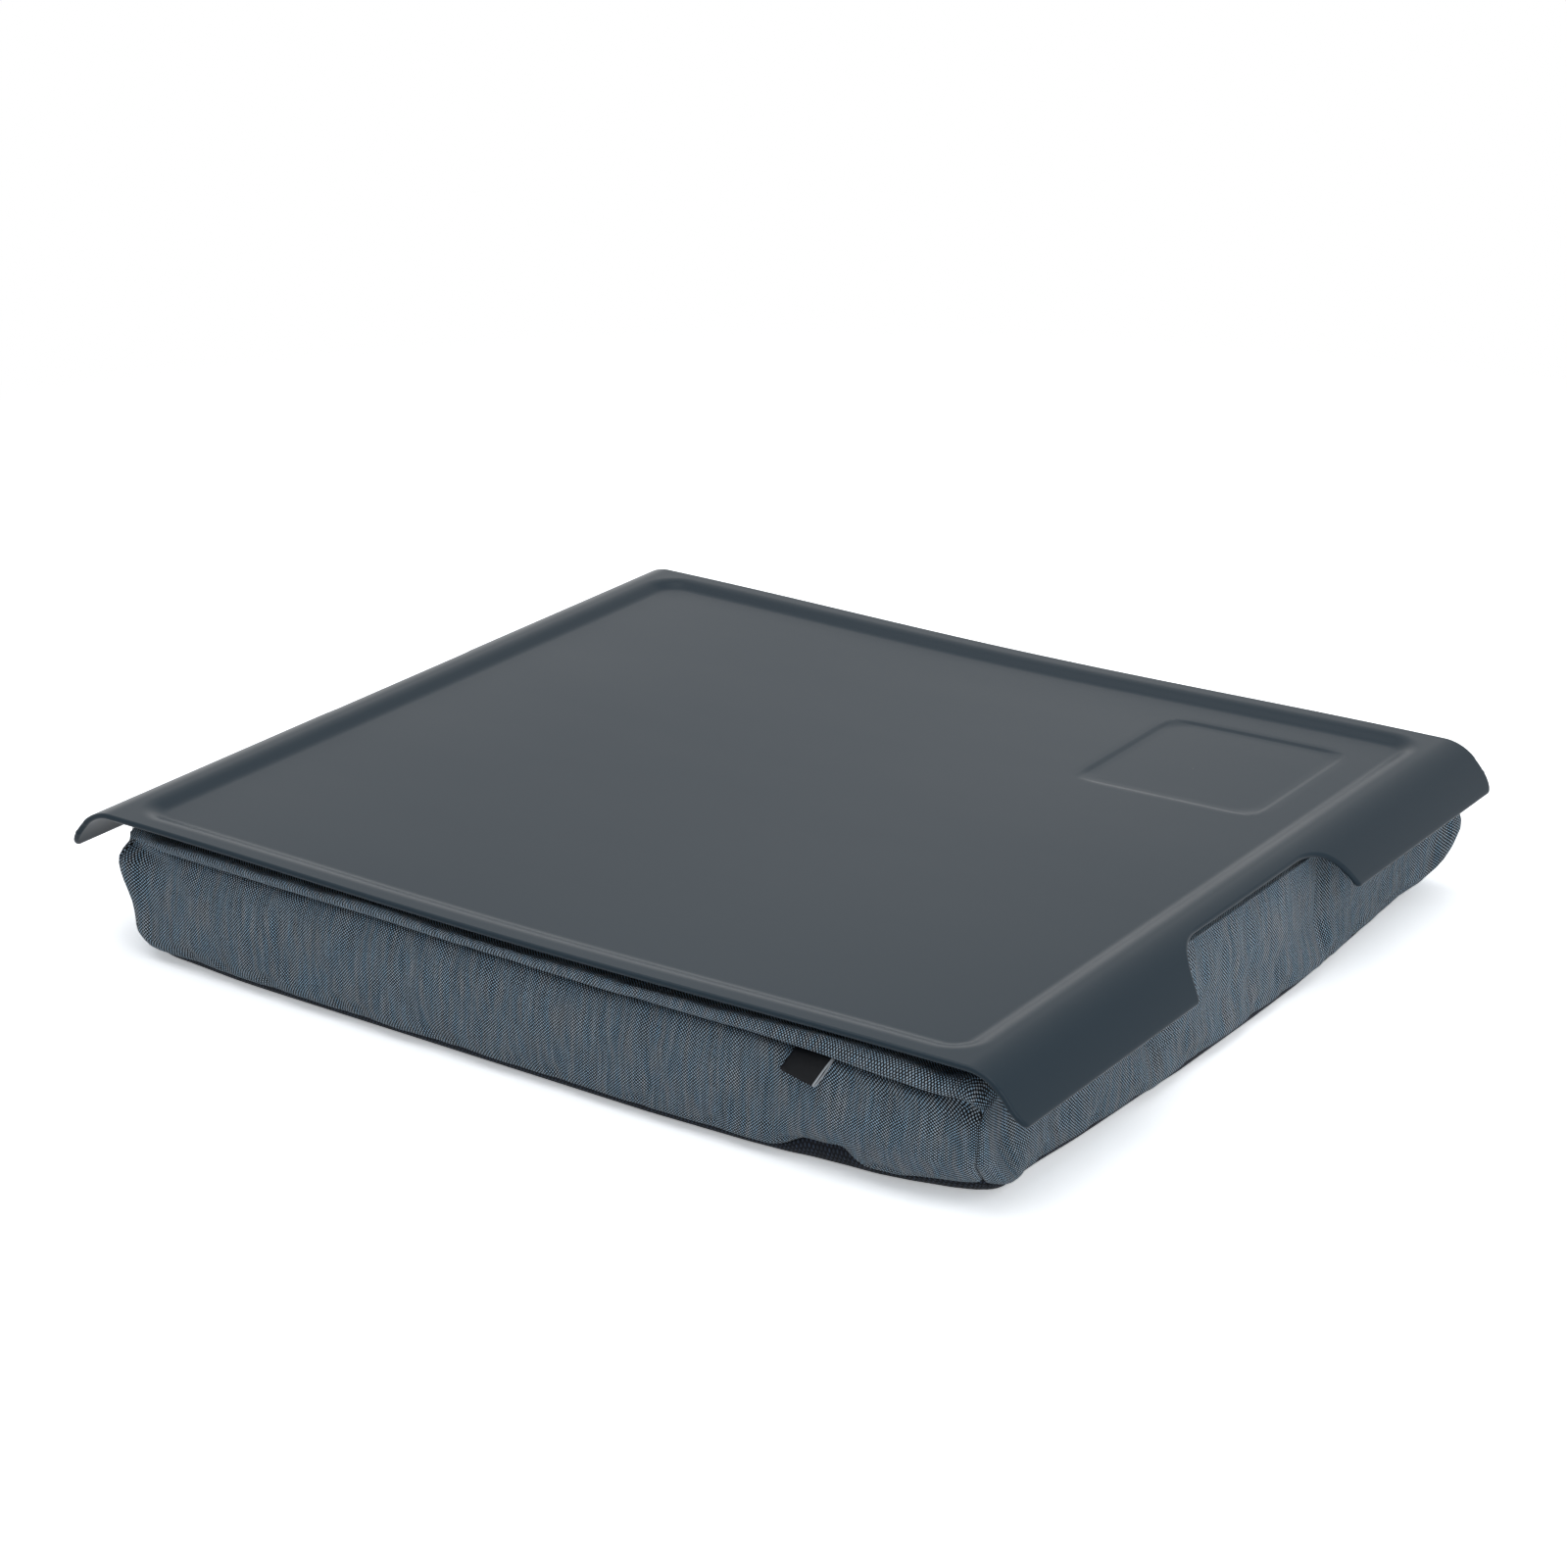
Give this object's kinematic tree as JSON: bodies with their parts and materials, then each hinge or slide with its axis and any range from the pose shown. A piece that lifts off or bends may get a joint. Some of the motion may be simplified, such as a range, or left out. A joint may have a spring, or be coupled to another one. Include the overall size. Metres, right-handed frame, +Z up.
{
  "type": "lap tray with cushion",
  "caption": "Rectangular lap tray with down-curled notched grips at both ends, held by hook and loop on a flat bead-filled cushion with a zipped cover.",
  "frame": {"origin": "on the resting plane, below the middle of the tray's outline", "axes": "+X along the long side, from grip to grip; -Y to the front, where the label is; +Z up"},
  "size_m": [0.46, 0.385, 0.065],
  "materials": {
    "tray_plastic": "soft-touch matt",
    "cover_fabric": "plain weave, black and blue-grey yarn",
    "base_fabric": "dark plain cloth",
    "label_ribbon": "smooth woven ribbon",
    "hook_tape": "matt",
    "loop_tape": "brushed",
    "liner_fabric": "thin cloth",
    "bead_filling": "foam beads",
    "zip_tape": "ribbed tape",
    "zip_coil": "satin",
    "zip_metal": "satin"
  },
  "bodies": {
    "cushion": {"cover_top": "cover_fabric", "cover_base": "base_fabric", "cover_front_band": "cover_fabric", "cover_back_band": "cover_fabric", "cover_left_band": "cover_fabric", "cover_right_band": "cover_fabric", "label": "label_ribbon", "loop_patch_front_left": "loop_tape", "loop_patch_front_right": "loop_tape", "loop_patch_back_left": "loop_tape", "loop_patch_back_right": "loop_tape", "zip_tape_upper": "zip_tape", "zip_tape_lower": "zip_tape", "zip_coil_upper": "zip_coil", "zip_coil_lower": "zip_coil", "zip_top_stops": "zip_metal", "zip_bottom_stop": "zip_metal", "liner_upper": "liner_fabric", "liner_lower": "liner_fabric", "bead_filling": "bead_filling"},
    "tray": {"tray": "tray_plastic", "hook_patch_front_left": "hook_tape", "hook_patch_front_right": "hook_tape", "hook_patch_back_left": "hook_tape", "hook_patch_back_right": "hook_tape"},
    "zip_slider": {"zip_slider": "zip_metal"},
    "zip_pull": {"zip_pull": "zip_metal"}
  },
  "joints": [
    {"name": "tray_lift", "type": "slide", "parent": "cushion", "child": "tray", "axis": [0, 0, 1], "range_m": [0, 0.1]},
    {"name": "zip_slide", "type": "slide", "parent": "cushion", "child": "zip_slider", "axis": [-1, 0, 0], "range_m": [0, 0.21]},
    {"name": "pull_turn", "type": "hinge", "parent": "zip_slider", "child": "zip_pull", "pos_m": [0.1052, 0.1904, 0.0265], "axis": [0, 0, -1], "range_deg": [0, 175]}
  ]
}
